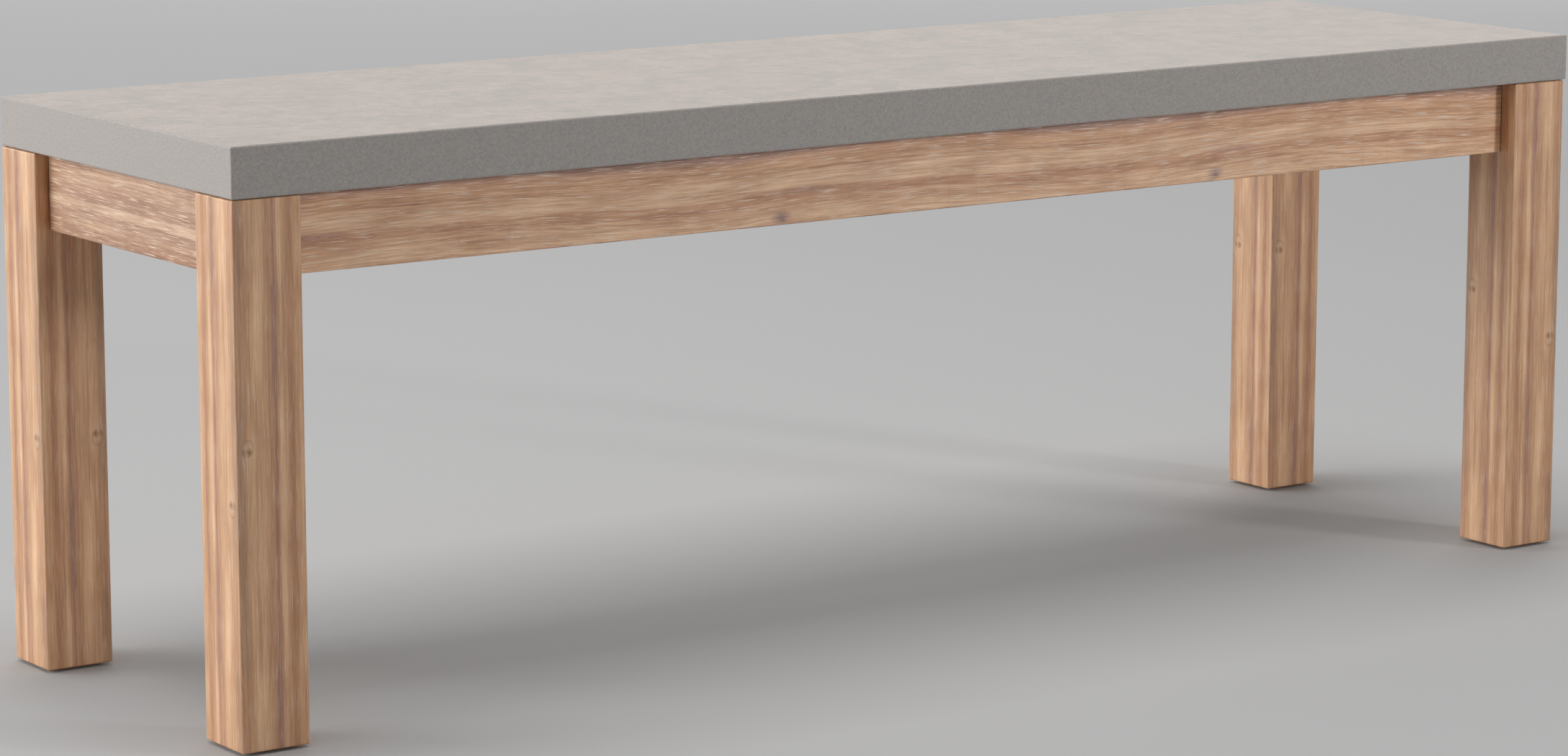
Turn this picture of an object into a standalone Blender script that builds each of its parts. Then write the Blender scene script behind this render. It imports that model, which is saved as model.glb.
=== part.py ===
"""A backless bench: a cast slab seat on a wooden base with corner brackets, in metres, +Z up.

The origin is on the ground under the middle of the slab. +X runs along the length, and -Y is the front.
"""

from math import radians, tan

import bmesh
import bpy
from mathutils import Vector

# Driving dimensions.
LENGTH = 1.317
DEPTH = 0.375
BENCH_HEIGHT = 0.452
SLAB_THICKNESS = 0.039
LEG_SIDE = 0.057
GLIDE_THICKNESS = 0.002
APRON_HEIGHT = 0.061
APRON_THICKNESS = 0.024
LONG_APRON_SETBACK = 0.0165
END_APRON_SETBACK = 0.0115
SLAB_OVERHANG = 0.0015
BASE_SHIFT = -0.0015

GAP = 0.0003
SLAB_ARRIS = 0.0015
WOOD_ARRIS = 0.0015
CUTTER_EXTRA = 0.002
ROUND_STEPS = 20
HEXAGON = 6
SMOOTH_ANGLE = radians(40)

# Joints in the wood.
TENON_THICKNESS = 0.012
TENON_LENGTH = 0.009
TENON_SHOULDER = 0.010
RAIL_WIDTH = 0.044
RAIL_HEIGHT = 0.030
RAIL_TENON_SHOULDER = 0.006

# The slab's underside.
RIM_WIDTH = 0.062
RIB_WIDTH = 0.060
POCKET_DEPTH = 0.024
POCKET_CORNER = 0.015
POCKET_DRAFT = radians(8)

# Corner brackets.
BRACKET_THICKNESS = 0.0025
BRACKET_HEIGHT = 0.036
BRACKET_FLANGE = 0.028
BRACKET_CLEARANCE = 0.008

# Fasteners, by radius. A tip or a head is drawn in to this share of its radius.
TAPER = 0.7
TIP_CHAMFER = 0.001
BOLT_RADIUS = 0.004
BOLT_IN_LEG = 0.038
BOLT_SPARE = 0.004
BOLT_TIP = 0.006
WASHER_RADIUS = 0.008
WASHER_THICKNESS = 0.0016
NUT_RADIUS = 0.0075
NUT_HEIGHT = 0.0065
WOOD_SCREW_RADIUS = 0.002
WOOD_SCREW_LENGTH = 0.016
WOOD_SCREW_TIP = 0.004
WOOD_SCREW_HEAD_RADIUS = 0.0042
WOOD_SCREW_HEAD_HEIGHT = 0.0022
SLAB_SCREW_RADIUS = 0.003
SLAB_SCREW_LENGTH = 0.038
SLAB_SCREW_HEAD_RADIUS = 0.006
SLAB_SCREW_HEAD_HEIGHT = 0.0035
SLAB_SCREW_SOCKET_RADIUS = 0.0022
SCREWED_THICKNESS = 0.026
INSERT_RADIUS = 0.0045
INSERT_LENGTH = 0.012
INSERT_COLLAR_WIDTH = 0.0005
INSERT_COLLAR_HEIGHT = 0.0015
INSERT_HOLE_DEPTH = 0.016
RAIL_SCREW_OFFSET = 0.080
GLIDE_RADIUS = 0.010
GLIDE_STEM_RADIUS = 0.0025
GLIDE_STEM_LENGTH = 0.014
GLIDE_CHAMFER = 0.0008

# Worked out from the dimensions above.
SLAB_BOTTOM = BENCH_HEIGHT - SLAB_THICKNESS
FRAME_TOP = SLAB_BOTTOM - GAP
APRON_BOTTOM = FRAME_TOP - APRON_HEIGHT
APRON_MIDDLE = (FRAME_TOP + APRON_BOTTOM) / 2
LEG_BOTTOM = GLIDE_THICKNESS
BASE_LENGTH = LENGTH - 2 * SLAB_OVERHANG
CORNER_X = BASE_LENGTH / 2
CORNER_Y = DEPTH / 2
LONG_APRON_INSIDE = LONG_APRON_SETBACK + APRON_THICKNESS
END_APRON_INSIDE = END_APRON_SETBACK + APRON_THICKNESS
RIB_PITCH = (LENGTH - 2 * RIM_WIDTH + RIB_WIDTH) / 3
SLAB_SCREW_HEAD_TOP = FRAME_TOP - SCREWED_THICKNESS

SIDES = {"left": -1, "right": 1}
ROWS = {"front": -1, "back": 1}


def make_collections():
    parts = bpy.data.collections.new("backless_bench")
    cutters = bpy.data.collections.new("cutters")
    cutters.hide_render = True
    bpy.context.scene.collection.children.link(parts)
    bpy.context.scene.collection.children.link(cutters)
    return parts, cutters


def clear_scene():
    for obj in list(bpy.data.objects):
        bpy.data.objects.remove(obj, do_unlink=True)


def make_material(name, color, roughness, metallic=0.0):
    material = bpy.data.materials.new(name)
    material.use_nodes = True
    shader = material.node_tree.nodes["Principled BSDF"]
    shader.inputs["Base Color"].default_value = (*color, 1.0)
    shader.inputs["Roughness"].default_value = roughness
    shader.inputs["Metallic"].default_value = metallic
    return material


def add_object(name, bm, material=None):
    """Turn a bmesh into an object: a part if it has a material, otherwise a hidden cutter."""
    mesh = bpy.data.meshes.new(name)
    bm.to_mesh(mesh)
    bm.free()
    obj = bpy.data.objects.new(name, mesh)
    if material:
        mesh.materials.append(material)
        PARTS.objects.link(obj)
    else:
        obj.hide_render = True
        obj.display_type = "WIRE"
        CUTTERS.objects.link(obj)
    return obj


def box_mesh(size):
    bm = bmesh.new()
    bmesh.ops.create_cube(bm, size=1.0)
    bmesh.ops.scale(bm, vec=Vector(size), verts=bm.verts)
    return bm


def add_box(name, size, center, material=None, arris=0.0):
    obj = add_object(name, box_mesh(size), material)
    obj.location = center
    if arris:
        add_bevel(obj, arris)
    return obj


def add_bevel(obj, width):
    bevel = obj.modifiers.new("arris", "BEVEL")
    bevel.width = width
    bevel.segments = 2
    bevel.limit_method = "ANGLE"


def add_cylinder(name, radius, start, end, material=None, sides=ROUND_STEPS):
    """A cylinder or a prism whose axis runs from start to end."""
    axis = Vector(end) - Vector(start)
    bm = bmesh.new()
    bmesh.ops.create_cone(
        bm, cap_ends=True, segments=sides, radius1=radius, radius2=radius, depth=axis.length
    )
    obj = add_object(name, bm, material)
    obj.data.shade_smooth()
    obj.data.set_sharp_from_angle(angle=SMOOTH_ANGLE)
    obj.location = (Vector(start) + Vector(end)) / 2
    obj.rotation_euler = axis.to_track_quat("Z", "Y").to_euler()
    return obj


def add_turned(name, profile, material, place, axis=(0, 0, 1)):
    """A turned piece. The profile is (radius, height) pairs, from the top down its outer side."""
    bm = bmesh.new()
    points = [bm.verts.new((radius, 0, height)) for radius, height in profile]
    for first, second in zip(points, points[1:]):
        bm.edges.new((first, second))
    if profile[0][0] > 0:
        bm.edges.new((points[-1], points[0]))
    obj = add_object(name, bm, material)
    obj.location = place
    obj.rotation_euler = Vector(axis).to_track_quat("Z", "Y").to_euler()
    screw = obj.modifiers.new("turn", "SCREW")
    screw.steps = ROUND_STEPS
    screw.render_steps = ROUND_STEPS
    screw.use_merge_vertices = True
    screw.merge_threshold = 0.00001
    screw.use_smooth_shade = True
    return obj


def combine(obj, other, operation):
    boolean = obj.modifiers.new(other.name, "BOOLEAN")
    boolean.operation = operation
    boolean.object = other
    boolean.solver = "EXACT"


def cut(obj, *cutters):
    for cutter in cutters:
        combine(obj, cutter, "DIFFERENCE")


def corner_frame(side, row):
    """From a corner's own axes (u inwards along the length, v inwards along the depth) to the world."""
    def place(u, v, z):
        x = BASE_SHIFT + side * (CORNER_X - u)
        return Vector((x, row * (CORNER_Y - v), z))
    return place


def corners():
    for row_name, row in ROWS.items():
        for side_name, side in SIDES.items():
            yield f"{row_name}_{side_name}", side, row


def bracket_line():
    """Where a bracket's diagonal plate faces the leg, as u + v along the line."""
    return 2 * LEG_SIDE + BRACKET_CLEARANCE * 2 ** 0.5


def bolt_point(place, beyond_leg):
    """A point on the hanger bolt's axis, this far out of the leg's inner corner."""
    along = LEG_SIDE + beyond_leg / 2 ** 0.5
    return place(along, along, APRON_MIDDLE)


def slab_fixings():
    """The places of the slab's screws: two on each cross rail and one on each end apron."""
    for side_name, side in SIDES.items():
        rail_x = side * RIB_PITCH / 2
        yield f"rail_{side_name}_front", rail_x, -RAIL_SCREW_OFFSET
        yield f"rail_{side_name}_back", rail_x, RAIL_SCREW_OFFSET
        end_x = BASE_SHIFT + side * (CORNER_X - END_APRON_SETBACK - APRON_THICKNESS / 2)
        yield f"end_{side_name}", end_x, 0.0


def pocket_cutter(index, length):
    """A block with rounded upright edges, drawn in towards its top as a casting's draft."""
    width = DEPTH - 2 * RIM_WIDTH
    bm = box_mesh((length, width, POCKET_DEPTH + CUTTER_EXTRA))
    upright = [edge for edge in bm.edges if edge.verts[0].co.z != edge.verts[1].co.z]
    bmesh.ops.bevel(bm, geom=upright, offset=POCKET_CORNER, segments=3, affect="EDGES", profile=0.5)
    inset = (POCKET_DEPTH + CUTTER_EXTRA) * tan(POCKET_DRAFT)
    top = [vert for vert in bm.verts if vert.co.z > 0]
    factors = Vector((1 - 2 * inset / length, 1 - 2 * inset / width, 1))
    bmesh.ops.scale(bm, vec=factors, verts=top)
    cutter = add_object(f"pocket_cutter_{index}", bm)
    cutter.location = (index * RIB_PITCH, 0, SLAB_BOTTOM + (POCKET_DEPTH - CUTTER_EXTRA) / 2)
    return cutter


def make_slab():
    center = (0, 0, SLAB_BOTTOM + SLAB_THICKNESS / 2)
    slab = add_box("seat_slab", (LENGTH, DEPTH, SLAB_THICKNESS), center, CONCRETE, SLAB_ARRIS)
    for index in (-1, 0, 1):
        cut(slab, pocket_cutter(index, RIB_PITCH - RIB_WIDTH))
    for name, x, y in slab_fixings():
        hole = add_cylinder(
            f"insert_hole_{name}",
            INSERT_RADIUS + GAP,
            (x, y, SLAB_BOTTOM - CUTTER_EXTRA),
            (x, y, SLAB_BOTTOM + INSERT_HOLE_DEPTH),
        )
        cut(slab, hole)


def mortise_size(length, height):
    return TENON_THICKNESS + 2 * GAP, length + GAP, height + 2 * GAP


def make_leg(name, side, row):
    place = corner_frame(side, row)
    middle = LEG_SIDE / 2
    height = FRAME_TOP - LEG_BOTTOM
    center = place(middle, middle, LEG_BOTTOM + height / 2)
    leg = add_box(f"leg_{name}", (LEG_SIDE, LEG_SIDE, height), center, WOOD, WOOD_ARRIS)
    thickness, depth, tall = mortise_size(TENON_LENGTH, APRON_HEIGHT - 2 * TENON_SHOULDER)
    reach = LEG_SIDE - (depth - CUTTER_EXTRA) / 2
    long_mortise = add_box(
        f"long_mortise_{name}",
        (depth + CUTTER_EXTRA, thickness, tall),
        place(reach, LONG_APRON_SETBACK + APRON_THICKNESS / 2, APRON_MIDDLE),
    )
    end_mortise = add_box(
        f"end_mortise_{name}",
        (thickness, depth + CUTTER_EXTRA, tall),
        place(END_APRON_SETBACK + APRON_THICKNESS / 2, reach, APRON_MIDDLE),
    )
    bolt_hole = add_cylinder(
        f"bolt_hole_{name}",
        BOLT_RADIUS + GAP,
        bolt_point(place, -BOLT_IN_LEG - GAP),
        bolt_point(place, 2 * CUTTER_EXTRA),
    )
    glide_hole = add_cylinder(
        f"glide_hole_{name}",
        GLIDE_STEM_RADIUS + GAP,
        place(middle, middle, LEG_BOTTOM - CUTTER_EXTRA),
        place(middle, middle, LEG_BOTTOM + GLIDE_STEM_LENGTH + GAP),
    )
    cut(leg, long_mortise, end_mortise, bolt_hole, glide_hole)


def make_glide(name, side, row):
    middle = LEG_SIDE / 2
    disc_top = GLIDE_THICKNESS - GAP
    stem_top = GLIDE_THICKNESS + GLIDE_STEM_LENGTH
    profile = [
        (0, stem_top),
        (GLIDE_STEM_RADIUS * TAPER, stem_top),
        (GLIDE_STEM_RADIUS, stem_top - TIP_CHAMFER),
        (GLIDE_STEM_RADIUS, disc_top),
        (GLIDE_RADIUS, disc_top),
        (GLIDE_RADIUS, GLIDE_CHAMFER),
        (GLIDE_RADIUS - GLIDE_CHAMFER, 0),
        (0, 0),
    ]
    add_turned(f"glide_{name}", profile, PLASTIC, corner_frame(side, row)(middle, middle, 0))


def add_beam(name, size, center, tenon):
    """A wooden beam along its longer side, with a stub tenon at each end, given as (thickness, height)."""
    beam = add_box(name, size, center, WOOD, WOOD_ARRIS)
    thickness, height = tenon
    if size[0] > size[1]:
        tongue_size = (size[0] + 2 * TENON_LENGTH, thickness, height)
    else:
        tongue_size = (thickness, size[1] + 2 * TENON_LENGTH, height)
    tongue = add_box(f"tenons_{name}", tongue_size, center)
    combine(beam, tongue, "UNION")
    return beam


def cut_bracket_pilots(apron, name, points):
    for index, (start, end) in enumerate(points):
        pilot = add_cylinder(f"pilot_{name}_{index}", WOOD_SCREW_RADIUS + GAP, start, end)
        cut(apron, pilot)


def flange_screws(side, row):
    """For each flange, the middle of its hole on the apron's face, and the way into the apron."""
    place = corner_frame(side, row)
    line = bracket_line()
    half = BRACKET_FLANGE / 2
    long_face = LONG_APRON_INSIDE + GAP
    end_face = END_APRON_INSIDE + GAP
    yield "long", place(line - long_face + half, long_face, APRON_MIDDLE), Vector((0, row, 0))
    yield "end", place(end_face, line - end_face + half, APRON_MIDDLE), Vector((side, 0, 0))


def pilots_for(kind, keep):
    points = []
    for _, side, row in corners():
        if not keep(side, row):
            continue
        for which, mouth, inwards in flange_screws(side, row):
            if which == kind:
                points.append((mouth - inwards * CUTTER_EXTRA, mouth + inwards * WOOD_SCREW_LENGTH))
    return points


def make_long_apron(row_name, row):
    span = BASE_LENGTH - 2 * LEG_SIDE - 2 * GAP
    y = row * (CORNER_Y - LONG_APRON_SETBACK - APRON_THICKNESS / 2)
    apron = add_beam(
        f"apron_{row_name}",
        (span, APRON_THICKNESS, APRON_HEIGHT),
        (BASE_SHIFT, y, APRON_MIDDLE),
        (TENON_THICKNESS, APRON_HEIGHT - 2 * TENON_SHOULDER),
    )
    _, depth, tall = mortise_size(TENON_LENGTH, RAIL_HEIGHT - 2 * RAIL_TENON_SHOULDER)
    inner_y = row * (CORNER_Y - LONG_APRON_INSIDE + (depth - CUTTER_EXTRA) / 2)
    for side_name, side in SIDES.items():
        mortise = add_box(
            f"rail_mortise_{row_name}_{side_name}",
            (RAIL_WIDTH - 2 * RAIL_TENON_SHOULDER + 2 * GAP, depth + CUTTER_EXTRA, tall),
            (side * RIB_PITCH / 2, inner_y, FRAME_TOP - RAIL_HEIGHT / 2),
        )
        cut(apron, mortise)
    cut_bracket_pilots(apron, row_name, pilots_for("long", lambda _, r: r == row))


def make_end_apron(side_name, side):
    span = DEPTH - 2 * LEG_SIDE - 2 * GAP
    x = BASE_SHIFT + side * (CORNER_X - END_APRON_SETBACK - APRON_THICKNESS / 2)
    apron = add_beam(
        f"apron_{side_name}",
        (APRON_THICKNESS, span, APRON_HEIGHT),
        (x, 0, APRON_MIDDLE),
        (TENON_THICKNESS, APRON_HEIGHT - 2 * TENON_SHOULDER),
    )
    cut_slab_screw_hole(apron, f"end_{side_name}", x, 0.0)
    cut_bracket_pilots(apron, side_name, pilots_for("end", lambda s, _: s == side))


def make_cross_rail(side_name, side):
    span = DEPTH - 2 * LONG_APRON_INSIDE - 2 * GAP
    x = side * RIB_PITCH / 2
    rail = add_beam(
        f"cross_rail_{side_name}",
        (RAIL_WIDTH, span, RAIL_HEIGHT),
        (x, 0, FRAME_TOP - RAIL_HEIGHT / 2),
        (RAIL_WIDTH - 2 * RAIL_TENON_SHOULDER, RAIL_HEIGHT - 2 * RAIL_TENON_SHOULDER),
    )
    for name, fixing_x, y in slab_fixings():
        if name.startswith(f"rail_{side_name}"):
            cut_slab_screw_hole(rail, name, fixing_x, y)


def cut_slab_screw_hole(beam, name, x, y):
    """A clearance hole right through, and a counterbore from below for the head."""
    top = (x, y, FRAME_TOP + CUTTER_EXTRA)
    bottom = (x, y, APRON_BOTTOM - CUTTER_EXTRA)
    head = (x, y, SLAB_SCREW_HEAD_TOP)
    shank_hole = add_cylinder(f"shank_hole_{name}", SLAB_SCREW_RADIUS + GAP, bottom, top)
    counterbore = add_cylinder(f"counterbore_{name}", SLAB_SCREW_HEAD_RADIUS + 2 * GAP, bottom, head)
    cut(beam, shank_hole, counterbore)


def make_slab_screw(name, x, y):
    """A pan-head machine screw, upright, with its head's upper side under the wood."""
    head = SLAB_SCREW_HEAD_HEIGHT
    profile = [
        (0, SLAB_SCREW_LENGTH),
        (SLAB_SCREW_RADIUS * TAPER, SLAB_SCREW_LENGTH),
        (SLAB_SCREW_RADIUS, SLAB_SCREW_LENGTH - TIP_CHAMFER),
        (SLAB_SCREW_RADIUS, 0),
        (SLAB_SCREW_HEAD_RADIUS, 0),
        (SLAB_SCREW_HEAD_RADIUS, -head / 2),
        (SLAB_SCREW_HEAD_RADIUS * TAPER, -head),
        (0, -head),
    ]
    screw = add_turned(f"slab_screw_{name}", profile, STEEL, (x, y, SLAB_SCREW_HEAD_TOP - GAP))
    socket_bottom = (x, y, SLAB_SCREW_HEAD_TOP - head - CUTTER_EXTRA)
    socket_top = (x, y, SLAB_SCREW_HEAD_TOP - head / 2)
    socket = add_cylinder(
        f"socket_{name}", SLAB_SCREW_SOCKET_RADIUS, socket_bottom, socket_top, sides=HEXAGON
    )
    cut(screw, socket)


def make_insert(name, x, y):
    """A threaded sleeve cast into the slab, with a collar at its mouth."""
    bore = SLAB_SCREW_RADIUS + GAP
    body = INSERT_RADIUS - INSERT_COLLAR_WIDTH
    profile = [
        (bore, INSERT_LENGTH),
        (body, INSERT_LENGTH),
        (body, INSERT_COLLAR_HEIGHT + INSERT_COLLAR_WIDTH),
        (INSERT_RADIUS, INSERT_COLLAR_HEIGHT),
        (INSERT_RADIUS, 0),
        (bore, 0),
    ]
    add_turned(f"slab_insert_{name}", profile, BRASS, (x, y, SLAB_BOTTOM + GAP))


def make_bracket(name, side, row):
    """A folded plate: a flange on each apron, joined by a diagonal web that the hanger bolt goes through."""
    place = corner_frame(side, row)
    line = bracket_line()
    long_face = LONG_APRON_INSIDE + GAP
    end_face = END_APRON_INSIDE + GAP
    outline = [
        (line - long_face + BRACKET_FLANGE, long_face),
        (line - long_face, long_face),
        (end_face, line - end_face),
        (end_face, line - end_face + BRACKET_FLANGE),
    ]
    bm = bmesh.new()
    low = APRON_MIDDLE - BRACKET_HEIGHT / 2
    strip = [bm.verts.new(place(u, v, low)) for u, v in outline]
    edges = [bm.edges.new(pair) for pair in zip(strip, strip[1:])]
    raised = bmesh.ops.extrude_edge_only(bm, edges=edges)
    lifted = [item for item in raised["geom"] if isinstance(item, bmesh.types.BMVert)]
    bmesh.ops.translate(bm, vec=(0, 0, BRACKET_HEIGHT), verts=lifted)
    bmesh.ops.recalc_face_normals(bm, faces=bm.faces)
    bm.faces.ensure_lookup_table()
    web = min(bm.faces, key=lambda face: abs(abs(face.normal.x) - abs(face.normal.y)))
    away_from_leg = place(1, 1, 0) - place(0, 0, 0)
    faces_away = web.normal.dot(away_from_leg) > 0
    bracket = add_object(f"corner_bracket_{name}", bm, STEEL)
    shell = bracket.modifiers.new("plate", "SOLIDIFY")
    shell.thickness = BRACKET_THICKNESS
    shell.offset = 1 if faces_away else -1
    shell.use_even_offset = True
    bolt_hole = add_cylinder(
        f"bracket_bolt_hole_{name}",
        BOLT_RADIUS + GAP,
        bolt_point(place, BRACKET_CLEARANCE - CUTTER_EXTRA),
        bolt_point(place, BRACKET_CLEARANCE + BRACKET_THICKNESS + CUTTER_EXTRA),
    )
    cut(bracket, bolt_hole)
    for which, mouth, inwards in flange_screws(side, row):
        back = mouth - inwards * (BRACKET_THICKNESS + CUTTER_EXTRA)
        front = mouth + inwards * CUTTER_EXTRA
        cut(bracket, add_cylinder(f"flange_hole_{which}_{name}", WOOD_SCREW_RADIUS + GAP, back, front))


def make_bracket_screws(name, side, row):
    profile = [
        (0, WOOD_SCREW_HEAD_HEIGHT),
        (WOOD_SCREW_HEAD_RADIUS * TAPER, WOOD_SCREW_HEAD_HEIGHT),
        (WOOD_SCREW_HEAD_RADIUS, WOOD_SCREW_HEAD_HEIGHT / 2),
        (WOOD_SCREW_HEAD_RADIUS, 0),
        (WOOD_SCREW_RADIUS, 0),
        (WOOD_SCREW_RADIUS, WOOD_SCREW_TIP - WOOD_SCREW_LENGTH),
        (0, -WOOD_SCREW_LENGTH),
    ]
    for which, mouth, inwards in flange_screws(side, row):
        under_head = mouth - inwards * (BRACKET_THICKNESS + GAP)
        add_turned(f"bracket_screw_{name}_{which}", profile, STEEL, under_head, -inwards)


def make_hanger_bolt(name, side, row):
    """The bolt, and the washer and nut that it carries on the far side of the bracket."""
    place = corner_frame(side, row)
    washer_seat = BRACKET_CLEARANCE + BRACKET_THICKNESS + GAP
    nut_seat = washer_seat + WASHER_THICKNESS + GAP
    outer_end = nut_seat + NUT_HEIGHT + BOLT_SPARE
    length = BOLT_IN_LEG + outer_end
    outwards = bolt_point(place, 1) - bolt_point(place, 0)
    profile = [
        (0, length),
        (BOLT_RADIUS * TAPER, length),
        (BOLT_RADIUS, length - TIP_CHAMFER),
        (BOLT_RADIUS, BOLT_TIP),
        (0, 0),
    ]
    add_turned(f"hanger_bolt_{name}", profile, STEEL, bolt_point(place, -BOLT_IN_LEG), outwards)
    ring = [
        (BOLT_RADIUS + GAP, WASHER_THICKNESS),
        (WASHER_RADIUS, WASHER_THICKNESS),
        (WASHER_RADIUS, 0),
        (BOLT_RADIUS + GAP, 0),
    ]
    add_turned(f"washer_{name}", ring, STEEL, bolt_point(place, washer_seat), outwards)
    nut_end = nut_seat + NUT_HEIGHT
    nut = add_cylinder(
        f"nut_{name}",
        NUT_RADIUS,
        bolt_point(place, nut_seat),
        bolt_point(place, nut_end),
        STEEL,
        sides=HEXAGON,
    )
    nut_hole = add_cylinder(
        f"nut_hole_{name}",
        BOLT_RADIUS + GAP,
        bolt_point(place, nut_seat - CUTTER_EXTRA),
        bolt_point(place, nut_end + CUTTER_EXTRA),
    )
    cut(nut, nut_hole)


def make_bench():
    make_slab()
    for name, side, row in corners():
        make_leg(name, side, row)
        make_glide(name, side, row)
        make_bracket(name, side, row)
        make_bracket_screws(name, side, row)
        make_hanger_bolt(name, side, row)
    for row_name, row in ROWS.items():
        make_long_apron(row_name, row)
    for side_name, side in SIDES.items():
        make_end_apron(side_name, side)
        make_cross_rail(side_name, side)
    for name, x, y in slab_fixings():
        make_slab_screw(name, x, y)
        make_insert(name, x, y)


clear_scene()
PARTS, CUTTERS = make_collections()
CONCRETE = make_material("concrete", (0.47, 0.43, 0.40), 0.80)
WOOD = make_material("wood", (0.70, 0.42, 0.26), 0.50)
STEEL = make_material("steel", (0.62, 0.62, 0.60), 0.35, 1.0)
BRASS = make_material("brass", (0.70, 0.55, 0.28), 0.35, 1.0)
PLASTIC = make_material("plastic", (0.03, 0.03, 0.03), 0.55)
make_bench()
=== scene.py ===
"""Looks of the backless bench: fine meshes, procedural materials, a studio and a camera.

Lengths are in metres, except on the wood's grain map and in the wood's materials, which count in millimetres.
"""

from math import cos, pi, radians, sin

import bmesh
import bpy
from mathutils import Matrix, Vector, noise


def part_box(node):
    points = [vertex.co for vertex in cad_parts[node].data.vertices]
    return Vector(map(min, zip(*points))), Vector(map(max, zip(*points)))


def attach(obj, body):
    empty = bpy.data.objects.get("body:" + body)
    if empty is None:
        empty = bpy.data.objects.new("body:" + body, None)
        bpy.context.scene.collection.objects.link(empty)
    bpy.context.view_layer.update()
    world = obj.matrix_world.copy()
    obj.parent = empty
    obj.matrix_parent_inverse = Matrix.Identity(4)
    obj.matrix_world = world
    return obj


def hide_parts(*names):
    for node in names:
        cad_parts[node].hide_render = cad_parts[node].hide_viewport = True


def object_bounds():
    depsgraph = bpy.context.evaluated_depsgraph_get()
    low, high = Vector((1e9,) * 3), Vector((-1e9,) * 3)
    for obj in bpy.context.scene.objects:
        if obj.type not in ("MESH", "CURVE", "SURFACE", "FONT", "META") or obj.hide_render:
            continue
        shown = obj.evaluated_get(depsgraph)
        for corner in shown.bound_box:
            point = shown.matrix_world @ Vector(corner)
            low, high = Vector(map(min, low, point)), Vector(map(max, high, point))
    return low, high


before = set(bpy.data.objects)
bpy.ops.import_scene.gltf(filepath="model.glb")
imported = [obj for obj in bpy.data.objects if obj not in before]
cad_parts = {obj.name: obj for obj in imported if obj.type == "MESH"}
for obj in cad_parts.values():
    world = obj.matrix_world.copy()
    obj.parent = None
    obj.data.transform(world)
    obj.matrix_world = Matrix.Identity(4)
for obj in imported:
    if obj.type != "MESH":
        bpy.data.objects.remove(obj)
cad_low, cad_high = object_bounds()

MM = 0.001
X_AXIS = Vector((1, 0, 0))
Y_AXIS = Vector((0, 1, 0))
Z_AXIS = Vector((0, 0, 1))

# The fine meshes' broad faces stay a skin's thickness inside the CAD's.
SKIN = 0.00004
WOOD_ARRIS = 0.0014
SLAB_ARRIS = 0.0016
ARRIS_WANDER = 0.0001
WANDER_LENGTH = 0.025
ARRIS_SEGMENTS = 3
STATION_PITCH = 0.012
SMOOTH_ANGLE = radians(40)

# Sizes of the boards, read from the frame, in millimetres.
leg_low, leg_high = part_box("leg_front_left")
apron_low, apron_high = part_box("apron_front")
LEG_SIDE = (leg_high.x - leg_low.x) / MM
APRON_HEIGHT = (apron_high.z - apron_low.z) / MM
END_APRON_LENGTH = (cad_high.y - cad_low.y) / MM - 2 * LEG_SIDE

# Wood colours, as linear RGB.
CREAM = (0.788, 0.470, 0.261)
STRAW = (0.675, 0.390, 0.207)
TAN = (0.616, 0.330, 0.168)
HONEY = (0.577, 0.298, 0.141)
BISCUIT = (0.551, 0.280, 0.144)
RUST = (0.489, 0.224, 0.103)
MAUVE = (0.402, 0.195, 0.124)
DRIFTWOOD = (0.443, 0.248, 0.133)
# The next colour is partly the wood's own purple-brown top edge and partly painted shade, where the slab
# overhangs the long aprons.
UMBER_WITH_PAINTED_SHADE = (0.300, 0.150, 0.095)
FLECK = (0.900, 0.700, 0.540)
PORE = (0.220, 0.105, 0.055)
KNOT_CORE = (0.330, 0.125, 0.020)
KNOT_RING = (0.250, 0.155, 0.100)
KNOT_GLEAM = (0.700, 0.500, 0.340)
APRON_KNOT = (0.260, 0.145, 0.120)
LONG_APRON_TONE = (1.18, 1.21, 1.32)
END_APRON_TONE = (0.79, 0.84, 0.96)
HUE_SHARES = (0.7, 1.0, 1.25)

# Other colours, as linear RGB.
CONCRETE_SIDE = (0.379, 0.349, 0.326)
CONCRETE_WARM = (0.422, 0.362, 0.326)
CONCRETE_GREY = (0.366, 0.326, 0.296)
ZINC = (0.62, 0.62, 0.60)
BRASS = (0.70, 0.55, 0.28)
BLACK_PLASTIC = (0.022, 0.022, 0.024)
FLOOR_GREY = (0.45, 0.45, 0.45)

# On a board's end the grain map's V runs slower, so that the growth rings cross it as long lines.
GRAIN_MAP = "grain"
END_GRAIN_SQUEEZE = 12.0

# The studio. A panel has a name, degrees round the bench, a distance, a size and watts.
LIGHT_TARGET = Vector((0, 0, 0.3))
PANEL_ELEVATION = radians(14)
SIDE_DISTANCE = 7.0
SIDE_SIZE = (3.6, 3.0)
BACK_DISTANCE = 9.0
BACK_SIZE = (5.0, 3.0)
PANELS = (
    ("left", 90, SIDE_DISTANCE, SIDE_SIZE, 90),
    ("left_back", 120, SIDE_DISTANCE, SIDE_SIZE, 258),
    ("back_left", 150, SIDE_DISTANCE, SIDE_SIZE, 76),
    ("back", 200, BACK_DISTANCE, BACK_SIZE, 157),
    ("back_right", 232, BACK_DISTANCE, BACK_SIZE, 196),
)
OVERHEAD_PLACE = Vector((-0.4, 0, 5.3))
OVERHEAD_SIZE = (4.0, 3.0)
OVERHEAD_POWER = 163
NEAR_RIGHT_PLACE = Vector((1.85, -2.70, 1.00))
NEAR_RIGHT_SIZE = (0.4, 0.4)
NEAR_RIGHT_POWER = 28.5
WORLD_STRENGTH = 0.15
FLOOR_RADIUS = 6.5

# The camera, turned from straight ahead along +Y and dipped from level, in radians.
CAMERA_PLACE = (-2.3046, -3.2413, 0.902)
CAMERA_TURN = -0.60916
CAMERA_DIP = 0.17757
CAMERA_LENS = 111.04
CAMERA_SENSOR_WIDTH = 36.0


# ---------------------------------------------------------------- meshes


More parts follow.
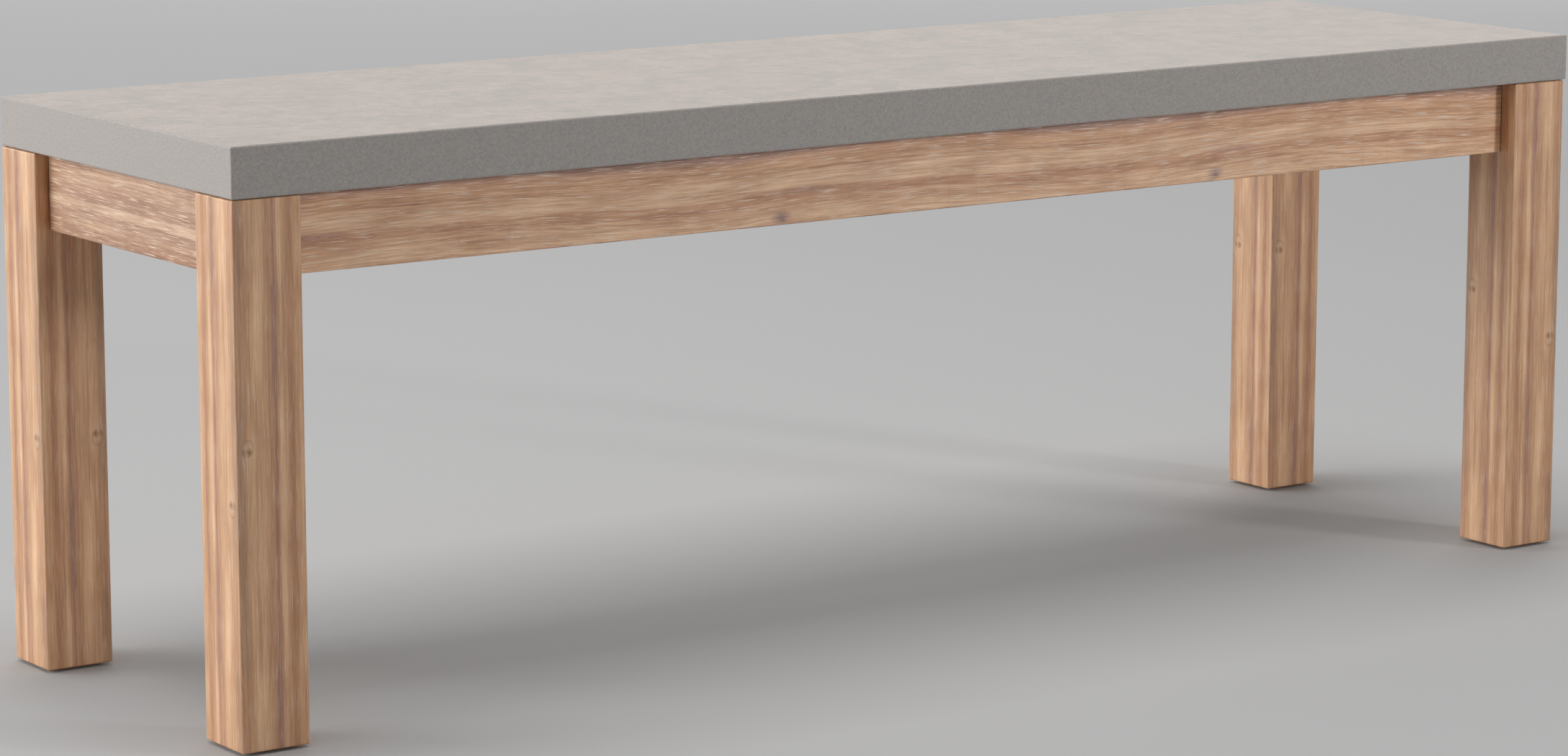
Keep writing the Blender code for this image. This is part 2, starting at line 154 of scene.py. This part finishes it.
def nearest_axis(direction):
    """The signed X, Y or Z axis that points most nearly this way."""
    index = max(range(3), key=lambda i: abs(direction[i]))
    axis = Vector((0, 0, 0))
    axis[index] = 1 if direction[index] > 0 else -1
    return axis


def box_mesh(low, high):
    """A plain box between two corners."""
    bm = bmesh.new()
    bmesh.ops.create_cube(bm, size=1.0)
    bmesh.ops.scale(bm, vec=high - low, verts=bm.verts)
    bmesh.ops.translate(bm, vec=(low + high) / 2, verts=bm.verts)
    return bm


def rounded_block(low, high, arris):
    """A block with rounded arrises, cut into stations along its length so that the arrises can wander."""
    size = high - low
    longest = max(range(3), key=lambda i: size[i])
    bm = box_mesh(low, high)
    edges = [edge for edge in bm.edges if edge.calc_face_angle() > SMOOTH_ANGLE]
    bmesh.ops.bevel(
        bm, geom=edges, offset=arris, segments=ARRIS_SEGMENTS, profile=0.5, affect="EDGES"
    )
    normal = Vector((0, 0, 0))
    normal[longest] = 1
    count = round(size[longest] / STATION_PITCH)
    for index in range(1, count):
        place = low + normal * (size[longest] * index / count)
        geometry = bm.verts[:] + bm.edges[:] + bm.faces[:]
        bmesh.ops.bisect_plane(bm, geom=geometry, plane_co=place, plane_no=normal)
    return bm


def wander_arrises(bm, low, high, arris, seed):
    """Wear the arrises more here and less there, by moving only the vertices between the flat faces."""
    middle = (low + high) / 2
    for vert in bm.verts:
        inset = [min(vert.co[i] - low[i], high[i] - vert.co[i]) for i in range(3)]
        if min(inset) < SKIN:
            continue
        place = vert.co / WANDER_LENGTH + Vector((seed, seed, seed))
        wear = ARRIS_WANDER * (0.5 + noise.noise(place))
        towards = middle - vert.co
        for i in range(3):
            is_along_arris = inset[i] > arris * 2
            if is_along_arris:
                towards[i] = 0
        vert.co += towards.normalized() * max(wear, 0)


def combine(piece, other, operation):
    """Make a Boolean of two objects and keep its result as the piece's mesh."""
    boolean = piece.modifiers.new("combine", "BOOLEAN")
    boolean.operation = operation
    boolean.solver = "EXACT"
    boolean.object = other
    graph = bpy.context.evaluated_depsgraph_get()
    result = bpy.data.meshes.new_from_object(piece.evaluated_get(graph), depsgraph=graph)
    piece.modifiers.clear()
    piece.data = result


def shade(piece):
    """Smooth the arrises and keep the broad faces flat."""
    piece.data.shade_smooth()
    piece.data.set_sharp_from_angle(angle=SMOOTH_ANGLE)
    weighted = piece.modifiers.new("flat_faces", "WEIGHTED_NORMAL")
    weighted.keep_sharp = True


def add_piece(name, bm):
    """Turn a bmesh into an object in the scene."""
    mesh = bpy.data.meshes.new(name)
    bm.to_mesh(mesh)
    bm.free()
    piece = bpy.data.objects.new(name, mesh)
    bpy.context.scene.collection.objects.link(piece)
    return piece


def fine_block(node, arris, seed, body=None, tenons=None):
    """A fine copy of a CAD block, from the (low, high) corners of its body and its tenons.

    The CAD node's own outline then cuts it, which gives it the node's mortises, holes and tenons.
    """
    low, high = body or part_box(node)
    skin = Vector((SKIN, SKIN, SKIN))
    bm = rounded_block(low + skin, high - skin, arris)
    wander_arrises(bm, low + skin, high - skin, arris, seed)
    piece = add_piece(f"{node}_fine", bm)
    if tenons:
        tongue_low, tongue_high = tenons
        tongue = add_piece(f"{node}_tongue", box_mesh(tongue_low - skin, tongue_high + skin))
        combine(piece, tongue, "UNION")
        bpy.data.objects.remove(tongue)
    combine(piece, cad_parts[node], "INTERSECT")
    return piece


def beam_parts(node, along):
    """The corners of a beam's body, and those of a block that runs through it from tenon tip to tenon tip.

    They are read from the CAD node: its vertices at one tip outline a tenon, and those higher than the
    tenon belong to the body.
    """
    index = max(range(3), key=lambda i: abs(along[i]))
    low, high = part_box(node)
    points = [vert.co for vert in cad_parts[node].data.vertices]
    tips = [point for point in points if point[index] < low[index] + SKIN]
    tenon_low = Vector([min(point[i] for point in tips) for i in range(3)])
    tenon_high = Vector([max(point[i] for point in tips) for i in range(3)])
    tenon_high[index] = high[index]
    above = [point[index] for point in points if point.z > tenon_high.z + SKIN]
    low[index] = min(above)
    high[index] = max(above)
    return (low, high), (tenon_low, tenon_high)


def lay_grain(mesh, low, high, along, turned=()):
    """Write the grain map in millimetres: U across the grain, V along it, each face on its own plane.

    U runs to the right as a face is seen from outside with the grain upright. On a face whose axis is in
    turned, the board is the other way up.
    """
    size = high - low
    layer = mesh.uv_layers.new(name=GRAIN_MAP)
    for face in mesh.polygons:
        outward = nearest_axis(face.normal)
        right = along.cross(outward)
        up = along
        is_end = right.length < 0.5
        if is_end:
            right = Vector((along.y, along.z, along.x))
            up = along.cross(right) / END_GRAIN_SQUEEZE
        is_turned = any(abs(outward.dot(axis)) > 0.5 for axis in turned)
        for index in face.loop_indices:
            offset = mesh.vertices[mesh.loops[index].vertex_index].co - low
            across = offset.dot(right) - min(0, size.dot(right))
            forward = offset.dot(up) - min(0, size.dot(up))
            if is_turned:
                across = abs(size.dot(right)) - across
                forward = abs(size.dot(up)) - forward
            layer.data[index].uv = (across / MM, forward / MM)


# ---------------------------------------------------------------- materials


class Recipe:
    """A material being made. Most methods add a node and return its output socket."""

    def __init__(self, name):
        self.material = bpy.data.materials.new(name)
        self.material.use_nodes = True
        self.nodes = self.material.node_tree.nodes
        self.links = self.material.node_tree.links
        self.shader = self.nodes["Principled BSDF"]

    def feed(self, socket, value):
        """Link a socket to an input, or set the input to a number or a colour."""
        if isinstance(value, bpy.types.NodeSocket):
            self.links.new(value, socket)
        else:
            socket.default_value = value

    def set(self, name, value):
        """Feed one of the shader's own inputs."""
        self.feed(self.shader.inputs[name], value)

    def object_place(self):
        return self.nodes.new("ShaderNodeTexCoord").outputs["Object"]

    def math(self, operation, *values):
        node = self.nodes.new("ShaderNodeMath")
        node.operation = operation
        for socket, value in zip(node.inputs, values):
            self.feed(socket, value)
        return node.outputs[0]

    def total(self, first, *others):
        for other in others:
            first = self.math("ADD", first, other)
        return first

    def vector(self, x, y, z):
        node = self.nodes.new("ShaderNodeCombineXYZ")
        for socket, value in zip(node.inputs, (x, y, z)):
            self.feed(socket, value)
        return node.outputs[0]

    def split(self, vector):
        node = self.nodes.new("ShaderNodeSeparateXYZ")
        self.feed(node.inputs[0], vector)
        return node.outputs[0], node.outputs[1], node.outputs[2]

    def noise(self, vector, scale=1.0, detail=2.0, roughness=0.5):
        node = self.nodes.new("ShaderNodeTexNoise")
        self.feed(node.inputs["Vector"], vector)
        node.inputs["Scale"].default_value = scale
        node.inputs["Detail"].default_value = detail
        node.inputs["Roughness"].default_value = roughness
        return node.outputs[0]

    def spread(self, value, low, high, out_low=0.0, out_high=1.0, smooth=True):
        """Map low..high to out_low..out_high, held at both ends."""
        node = self.nodes.new("ShaderNodeMapRange")
        node.interpolation_type = "SMOOTHSTEP" if smooth else "LINEAR"
        for socket, number in zip(node.inputs, (value, low, high, out_low, out_high)):
            self.feed(socket, number)
        return node.outputs[0]

    def ramp(self, factor, stops):
        """A colour ramp over (position, colour) pairs."""
        node = self.nodes.new("ShaderNodeValToRGB")
        self.feed(node.inputs[0], factor)
        elements = node.color_ramp.elements
        while len(elements) < len(stops):
            elements.new(0.5)
        for element, (position, color) in zip(elements, stops):
            element.position = position
            element.color = (*color, 1.0)
        return node.outputs[0]

    def mix(self, factor, first, second, blend="MIX"):
        node = self.nodes.new("ShaderNodeMix")
        node.data_type = "RGBA"
        node.blend_type = blend
        self.feed(node.inputs[0], factor)
        for socket, value in zip(node.inputs[6:8], (first, second)):
            is_color = isinstance(value, tuple)
            self.feed(socket, (*value, 1.0) if is_color else value)
        return node.outputs[2]

    def tint(self, color, value, low, high):
        """Multiply a colour by a value mapped linearly from 0..1 to low..high."""
        factor = self.spread(value, 0.0, 1.0, low, high, smooth=False)
        return self.mix(1.0, color, self.vector(factor, factor, factor), "MULTIPLY")

    def bump(self, height, distance, strength):
        """Give the shader a fine relief."""
        node = self.nodes.new("ShaderNodeBump")
        node.inputs["Strength"].default_value = strength
        node.inputs["Distance"].default_value = distance
        self.feed(node.inputs["Height"], height)
        self.set("Normal", node.outputs[0])


class Grain(Recipe):
    """A wood being made, with its place on the grain map in millimetres."""

    def __init__(self, name, seed):
        super().__init__(name)
        grain_map = self.nodes.new("ShaderNodeUVMap")
        grain_map.uv_map = GRAIN_MAP
        self.across, self.along, _ = self.split(grain_map.outputs[0])
        self.seed = seed

    def streaks(self, width, length, layer, detail=2.0):
        """Noise drawn out along the grain: its features are about this wide and long, in millimetres."""
        across = self.math("DIVIDE", self.across, width)
        along = self.math("DIVIDE", self.along, length)
        place = self.vector(across, along, self.seed + layer)
        return self.noise(place, detail=detail)

    def bend(self, amount, width, length, layer):
        """Shift the grain sideways by a slow noise, so that its lines flow."""
        drift = self.spread(self.streaks(width, length, layer), 0.0, 1.0, -amount, amount, smooth=False)
        self.across = self.math("ADD", self.across, drift)

    def distance(self, across, along, stretch):
        """The offset across the grain from a point, and the whole distance from it.

        Lengths along the grain are first divided by the stretch.
        """
        side = self.math("SUBTRACT", self.across, across)
        forward = self.math("DIVIDE", self.math("SUBTRACT", self.along, along), stretch)
        squares = self.total(self.math("POWER", side, 2.0), self.math("POWER", forward, 2.0))
        return side, self.math("SQRT", squares)

    def flow_round(self, across, along, radius, stretch):
        """Bend the grain round a knot."""
        side, distance = self.distance(across, along, stretch)
        reach = self.math("ADD", self.math("POWER", distance, 2.0), radius ** 2)
        pull = self.math("DIVIDE", self.math("MULTIPLY", side, radius ** 2), reach)
        self.across = self.math("SUBTRACT", self.across, pull)

    def vary(self, color, value, amount):
        """Lighten and darken a colour by a 0..1 value: red least and blue most, as in real wood."""
        factors = [
            self.spread(value, 0.0, 1.0, 1 - share * amount, 1 + share * amount, smooth=False)
            for share in HUE_SHARES
        ]
        return self.mix(1.0, color, self.vector(*factors), "MULTIPLY")

    def ring(self, color, ring_color, across, along, radius, width, stretch, strength):
        """Draw a soft loop of another colour on the board."""
        _, distance = self.distance(across, along, stretch)
        from_line = self.math("ABSOLUTE", self.math("SUBTRACT", distance, radius))
        mask = self.spread(from_line, 0.0, width, strength, 0.0)
        return self.mix(mask, color, ring_color)

    def spot(self, color, spot_color, across, along, radius, stretch=1.0, strength=1.0, softness=1.0):
        """Lay a soft round or long spot of another colour on the board."""
        _, distance = self.distance(across, along, stretch)
        mask = self.spread(distance, radius * (1 - softness), radius, strength, 0.0)
        return self.mix(mask, color, spot_color)


def stripes(width, *stops):
    """Colour stops across a board, from millimetres to the ramp's 0..1."""
    return [(place / width, color) for place, color in stops]


LEG_STRIPES = stripes(
    LEG_SIDE,
    (0.0, STRAW), (4.5, STRAW), (7.0, TAN), (9.5, RUST), (11.5, RUST), (13.5, BISCUIT), (17.0, STRAW),
    (18.3, CREAM), (20.3, CREAM), (21.8, TAN), (24.0, MAUVE), (26.0, BISCUIT), (30.0, BISCUIT),
    (33.0, TAN), (34.5, STRAW), (38.0, STRAW), (41.0, TAN), (44.0, STRAW), (48.0, TAN),
    (51.5, DRIFTWOOD), (54.0, DRIFTWOOD), (57.0, BISCUIT),
)
LEG_FLAME_STRIPES = stripes(
    LEG_SIDE,
    (0.0, TAN), (5.0, TAN), (8.0, HONEY), (10.5, RUST), (12.0, RUST), (14.5, BISCUIT), (18.0, TAN),
    (19.5, STRAW), (21.5, TAN), (22.8, MAUVE), (26.6, MAUVE), (27.8, BISCUIT), (31.0, TAN),
    (35.0, STRAW), (38.5, CREAM), (42.0, CREAM), (44.5, STRAW), (48.0, TAN), (53.0, BISCUIT),
    (57.0, TAN),
)
# The long aprons' dark top 3 mm, fading out by 8 mm, is partly the wood's own purple-brown edge and partly
# painted shade under the slab's overhang.
APRON_STRIPES = stripes(
    APRON_HEIGHT,
    (0.0, UMBER_WITH_PAINTED_SHADE), (3.0, UMBER_WITH_PAINTED_SHADE), (8.0, BISCUIT), (12.0, HONEY), (19.0, HONEY), (23.0, STRAW), (33.0, STRAW),
    (35.5, TAN), (36.6, RUST), (38.5, HONEY), (41.0, RUST), (45.0, TAN), (53.0, STRAW), (61.0, STRAW),
)
END_APRON_STRIPES = stripes(
    APRON_HEIGHT,
    (0.0, BISCUIT), (6.0, TAN), (16.0, TAN), (23.0, BISCUIT), (29.0, BISCUIT), (30.5, STRAW),
    (32.0, CREAM), (35.0, CREAM), (37.0, STRAW), (38.2, BISCUIT), (44.0, BISCUIT), (48.0, HONEY),
    (53.0, RUST), (57.0, RUST), (61.0, BISCUIT),
)

# The legs' figure, in millimetres: the heights between which its flamed stretches fade in or out, how ragged
# their ends are, and the places of its knot and pips across and up the leg.
UPPER_FLAME_START = (344.0, 354.0)
LOWER_FLAME_START = (56.0, 66.0)
LOWER_FLAME_END = (110.0, 170.0)
FLAME_RAGGEDNESS = 12.0
LEG_KNOT = (48.6, 185.0)
LEG_PIPS = ((16.0, 157.0), (14.0, 290.0))
LEG_PIP_RADIUS = 1.3

# The long aprons' figure repeats along the board, and its lines rise and fall once in each repeat. A mark has
# a colour, a place across and along the grain, a radius, a stretch and a strength. The last two are cracks.
FIGURE_LENGTH = 440.0
FIGURE_LEAD = FIGURE_LENGTH / 3
WAVE_LEAD = 5.0
WAVE_HEIGHT = 2.6
LONG_APRON_MARKS = (
    (MAUVE, 1.0, 65.0, 5.5, 12.0, 0.8),
    (MAUVE, 1.0, -55.0, 6.0, 7.0, 0.8),
    (MAUVE, 36.0, 20.0, 5.0, 9.0, 0.7),
    (RUST, 47.0, 60.0, 4.0, 8.0, 0.7),
    (CREAM, 30.0, 208.0, 7.0, 5.0, 0.7),
    (APRON_KNOT, 55.0, -4.0, 8.0, 1.6, 0.9),
    (PORE, 57.0, -3.0, 2.6, 1.5, 0.8),
    (PORE, 50.0, 160.0, 14.0, 0.03, 0.35),
    (PORE, 50.0, 187.0, 14.0, 0.03, 0.35),
)

# The end aprons' lines climb by this much from end to end.
END_APRON_CLIMB = 2.2


def finish_wood(wood, color, contrast, fleck_strength):
    """Threads, fibres, pale flecks, pores, gloss and relief, which every board has."""
    fibres = wood.streaks(width=0.6, length=24.0, layer=3.0, detail=3.0)
    threads = wood.streaks(width=2.0, length=130.0, layer=5.0)
    blotches = wood.streaks(width=14.0, length=60.0, layer=6.0, detail=3.0)
    dashes = wood.streaks(width=0.75, length=26.0, layer=11.0, detail=3.0)
    dots = wood.streaks(width=0.45, length=7.0, layer=7.0, detail=1.0)
    flecks = wood.spread(dashes, 0.55, 0.66, 0.0, fleck_strength)
    pores = wood.spread(dots, 0.64, 0.76)
    color = wood.vary(color, blotches, 0.28 * contrast)
    color = wood.vary(color, threads, 0.34 * contrast)
    color = wood.vary(color, fibres, 0.26 * contrast)
    color = wood.mix(flecks, color, FLECK)
    color = wood.mix(wood.math("MULTIPLY", pores, 0.35), color, PORE)
    wood.set("Base Color", color)
    wood.set("Roughness", wood.spread(fibres, 0.2, 0.8, 0.54, 0.42, smooth=False))
    wood.set("Specular IOR Level", 0.65)
    wood.set("Coat Weight", 0.35)
    wood.set("Coat Roughness", 0.45)
    relief = wood.math("SUBTRACT", wood.total(fibres, threads), pores)
    wood.bump(relief, distance=0.0001, strength=0.5)
    return wood.material


def add_leg_knot(wood, color):
    """A small knot: a dark core in a ring, over a pale gleam in a wider ring."""
    across, along = LEG_KNOT
    gleam = along - 3.0
    core = along + 0.5
    color = wood.spot(color, KNOT_GLEAM, across, gleam, radius=3.4, stretch=1.3, strength=0.3)
    color = wood.ring(color, KNOT_RING, across, gleam, radius=3.4, width=1.0, stretch=1.6, strength=0.35)
    color = wood.ring(color, KNOT_RING, across, core, radius=2.2, width=0.8, stretch=1.2, strength=0.6)
    return wood.spot(color, KNOT_CORE, across, core, radius=2.0, stretch=1.2, softness=0.6)


def make_leg_wood():
    """Straight stripes, which turn into a flamed figure high and low on the leg."""
    wood = Grain("leg_wood", seed=2.0)
    wood.flow_round(*LEG_KNOT, radius=3.5, stretch=1.8)
    wood.bend(1.0, width=20.0, length=160.0, layer=1.0)
    wood.bend(0.5, width=5.0, length=40.0, layer=2.0)
    place = wood.math("DIVIDE", wood.across, LEG_SIDE)
    plain = wood.ramp(place, LEG_STRIPES)
    flamed = wood.ramp(place, LEG_FLAME_STRIPES)
    tongues = wood.streaks(width=1.8, length=400.0, layer=9.0)
    ragged = wood.spread(tongues, 0.3, 0.7, -FLAME_RAGGEDNESS, FLAME_RAGGEDNESS, smooth=False)
    height = wood.math("ADD", wood.along, ragged)
    upper = wood.spread(height, *UPPER_FLAME_START)
    lower_start = wood.spread(height, *LOWER_FLAME_START)
    lower_end = wood.spread(height, *LOWER_FLAME_END, 1.0, 0.0)
    lower = wood.math("MULTIPLY", lower_start, lower_end)
    color = wood.mix(wood.total(upper, lower), plain, flamed)
    color = add_leg_knot(wood, color)
    for across, along in LEG_PIPS:
        color = wood.spot(color, RUST, across, along, LEG_PIP_RADIUS, strength=0.8)
    return finish_wood(wood, color, contrast=1.35, fleck_strength=0.30)


def make_long_apron_wood():
    """Wavy stripes with stains, a knot and fine cracks, which repeat along the board."""
    wood = Grain("long_apron_wood", seed=31.0)
    turns = wood.math("MULTIPLY", wood.math("ADD", wood.along, WAVE_LEAD), 2 * pi / FIGURE_LENGTH)
    wave = wood.math("MULTIPLY", wood.math("SINE", turns), WAVE_HEIGHT)
    wood.across = wood.math("ADD", wood.across, wave)
    wood.bend(4.0, width=30.0, length=200.0, layer=1.0)
    wood.bend(1.1, width=9.0, length=90.0, layer=2.0)
    color = wood.ramp(wood.math("DIVIDE", wood.across, APRON_HEIGHT), APRON_STRIPES)
    # The marks lie on the repeat, which is counted from before the board's end so that its seam cuts none.
    whole_along = wood.along
    wood.along = wood.math("FLOORED_MODULO", wood.math("ADD", whole_along, FIGURE_LEAD), FIGURE_LENGTH)
    for mark_color, across, along, radius, stretch, strength in LONG_APRON_MARKS:
        color = wood.spot(color, mark_color, across, FIGURE_LEAD + along, radius, stretch, strength)
    wood.along = whole_along
    color = wood.mix(1.0, color, LONG_APRON_TONE, "MULTIPLY")
    return finish_wood(wood, color, contrast=2.0, fleck_strength=0.85)


def make_end_apron_wood():
    """Nearly straight stripes, which climb slowly from one end to the other."""
    wood = Grain("end_apron_wood", seed=47.0)
    climb = wood.math("MULTIPLY", wood.along, END_APRON_CLIMB / END_APRON_LENGTH)
    wood.across = wood.math("SUBTRACT", wood.across, climb)
    wood.bend(1.2, width=30.0, length=160.0, layer=1.0)
    wood.bend(0.6, width=9.0, length=60.0, layer=2.0)
    color = wood.ramp(wood.math("DIVIDE", wood.across, APRON_HEIGHT), END_APRON_STRIPES)
    color = wood.mix(1.0, color, END_APRON_TONE, "MULTIPLY")
    return finish_wood(wood, color, contrast=2.3, fleck_strength=0.75)


def make_concrete():
    """Sandy cast concrete, plain on its sides, clouded and mottled on top."""
    stone = Recipe("concrete")
    place = stone.object_place()
    normal = stone.nodes.new("ShaderNodeNewGeometry").outputs["Normal"]
    _, _, upward = stone.split(normal)
    clouds = stone.noise(place, scale=22.0, detail=6.0, roughness=0.70)
    mottle = stone.noise(place, scale=90.0, detail=4.0, roughness=0.6)
    sand = stone.noise(place, scale=600.0, detail=3.0, roughness=0.7)
    side = stone.tint(CONCRETE_SIDE, mottle, 0.96, 1.04)
    top = stone.mix(stone.spread(clouds, 0.38, 0.62), CONCRETE_WARM, CONCRETE_GREY)
    top = stone.tint(top, mottle, 0.66, 1.34)
    color = stone.mix(stone.spread(upward, 0.5, 0.9), side, top)
    color = stone.tint(color, sand, 0.60, 1.40)
    stone.set("Base Color", color)
    stone.set("Roughness", stone.spread(mottle, 0.3, 0.7, 0.62, 0.76, smooth=False))
    stone.set("Specular IOR Level", 0.65)
    relief = stone.total(sand, stone.math("MULTIPLY", mottle, 2.0))
    stone.bump(relief, distance=0.00015, strength=0.6)
    return stone.material


def make_metal(name, color, roughness):
    """Metal with a faint spangle and fine scuffs."""
    metal = Recipe(name)
    place = metal.object_place()
    spangle = metal.noise(place, scale=260.0, detail=3.0)
    scuffs = metal.noise(place, scale=1400.0)
    metal.set("Base Color", metal.tint(color, spangle, 0.82, 1.12))
    metal.set("Metallic", 1.0)
    metal.set("Roughness", metal.spread(scuffs, 0.3, 0.7, roughness - 0.06, roughness + 0.1, smooth=False))
    metal.bump(scuffs, distance=0.00004, strength=0.4)
    return metal.material


def make_plastic():
    """Black moulded plastic with a finely dimpled skin."""
    plastic = Recipe("black_plastic")
    dimples = plastic.noise(plastic.object_place(), scale=1200.0)
    plastic.set("Base Color", plastic.tint(BLACK_PLASTIC, dimples, 0.8, 1.3))
    plastic.set("Roughness", plastic.spread(dimples, 0.3, 0.7, 0.5, 0.62, smooth=False))
    plastic.bump(dimples, distance=0.00005, strength=0.5)
    return plastic.material


def make_floor_paint():
    """Matte pale grey paint, very slightly cloudy."""
    paint = Recipe("floor_paint")
    clouds = paint.noise(paint.object_place(), scale=0.8, detail=3.0)
    paint.set("Base Color", paint.tint(FLOOR_GREY, clouds, 0.98, 1.02))
    paint.set("Roughness", 0.9)
    paint.set("Specular IOR Level", 0.1)
    return paint.material


# ---------------------------------------------------------------- the bench


# The axes of the faces on which each leg's figure is the other way up.
LEG_FACES_TURNED = {
    "front_left": (Y_AXIS,),
    "back_left": (),
    "front_right": (X_AXIS,),
    "back_right": (X_AXIS, Y_AXIS),
}


def place_piece(piece, node, material):
    """Finish a fine piece and let it stand for its CAD node."""
    piece.data.materials.clear()
    piece.data.materials.append(material)
    shade(piece)
    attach(piece, "root")
    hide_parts(node)


def make_slab(material):
    piece = fine_block("seat_slab", SLAB_ARRIS, seed=3.0)
    place_piece(piece, "seat_slab", material)


def make_legs(material):
    for seed, (corner, turned) in enumerate(LEG_FACES_TURNED.items()):
        node = f"leg_{corner}"
        piece = fine_block(node, WOOD_ARRIS, seed)
        low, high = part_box(node)
        lay_grain(piece.data, low, high, Z_AXIS, turned)
        place_piece(piece, node, material)


def make_beam(node, up_end, seed, material):
    """An apron or a rail, with its grain along it. The grain map's V runs towards up_end."""
    body, tenons = beam_parts(node, up_end)
    piece = fine_block(node, WOOD_ARRIS, seed, body, tenons)
    lay_grain(piece.data, *body, up_end)
    place_piece(piece, node, material)


def make_beams(long_wood, end_wood):
    make_beam("apron_front", X_AXIS, 10.0, long_wood)
    make_beam("apron_back", -X_AXIS, 11.0, long_wood)
    make_beam("apron_left", -Y_AXIS, 20.0, end_wood)
    make_beam("apron_right", Y_AXIS, 21.0, end_wood)
    make_beam("cross_rail_left", Y_AXIS, 30.0, long_wood)
    make_beam("cross_rail_right", Y_AXIS, 31.0, long_wood)


def dress_cad_nodes(materials):
    """Give each CAD node that stays on show its material, by the first part of its name."""
    for name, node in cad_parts.items():
        for start, material in materials.items():
            if name.startswith(start):
                node.data.materials.clear()
                node.data.materials.append(material)


def make_bench():
    leg_wood = make_leg_wood()
    long_wood = make_long_apron_wood()
    end_wood = make_end_apron_wood()
    steel = make_metal("zinc_steel", ZINC, roughness=0.34)
    make_slab(make_concrete())
    make_legs(leg_wood)
    make_beams(long_wood, end_wood)
    dress_cad_nodes(
        {
            "corner_bracket": steel,
            "bracket_screw": steel,
            "hanger_bolt": steel,
            "washer": steel,
            "nut": steel,
            "slab_screw": steel,
            "slab_insert": make_metal("brass", BRASS, roughness=0.32),
            "glide": make_plastic(),
        }
    )


# ---------------------------------------------------------------- the studio


def add_light(name, place, size, power):
    """A soft rectangular light, turned towards the bench and hidden from the camera."""
    light = bpy.data.lights.new(name, "AREA")
    light.shape = "RECTANGLE"
    light.size, light.size_y = size
    light.energy = power
    lamp = bpy.data.objects.new(name, light)
    lamp.location = place
    lamp.visible_camera = False
    lamp.rotation_euler = (LIGHT_TARGET - place).to_track_quat("-Z", "Y").to_euler()
    bpy.context.scene.collection.objects.link(lamp)


def panel_place(degrees, distance):
    """A place this far away, at the panels' height, where 0 degrees is in front, 90 left and 180 behind."""
    turn = radians(degrees)
    level = Vector((-sin(turn), -cos(turn), 0)) * cos(PANEL_ELEVATION)
    return LIGHT_TARGET + (level + Z_AXIS * sin(PANEL_ELEVATION)) * distance


def make_lights():
    for name, degrees, distance, size, power in PANELS:
        add_light(name, panel_place(degrees, distance), size, power)
    add_light("overhead", OVERHEAD_PLACE, OVERHEAD_SIZE, OVERHEAD_POWER)
    add_light("near_right", NEAR_RIGHT_PLACE, NEAR_RIGHT_SIZE, NEAR_RIGHT_POWER)


def make_floor():
    bm = bmesh.new()
    bmesh.ops.create_circle(bm, cap_ends=True, radius=FLOOR_RADIUS, segments=96)
    floor = add_piece("studio_floor", bm)
    floor.data.materials.append(make_floor_paint())


def make_world():
    world = bpy.data.worlds.new("studio")
    world.use_nodes = True
    background = world.node_tree.nodes["Background"]
    background.inputs["Color"].default_value = (1, 1, 1, 1)
    background.inputs["Strength"].default_value = WORLD_STRENGTH
    bpy.context.scene.world = world


def make_camera():
    data = bpy.data.cameras.new("camera")
    data.sensor_width = CAMERA_SENSOR_WIDTH
    data.lens = CAMERA_LENS
    camera = bpy.data.objects.new("camera", data)
    camera.location = CAMERA_PLACE
    camera.rotation_euler = (pi / 2 - CAMERA_DIP, 0, CAMERA_TURN)
    bpy.context.scene.collection.objects.link(camera)
    bpy.context.scene.camera = camera


make_camera()
make_bench()
make_floor()
make_world()
make_lights()
bpy.context.scene.view_settings.view_transform = "Standard"
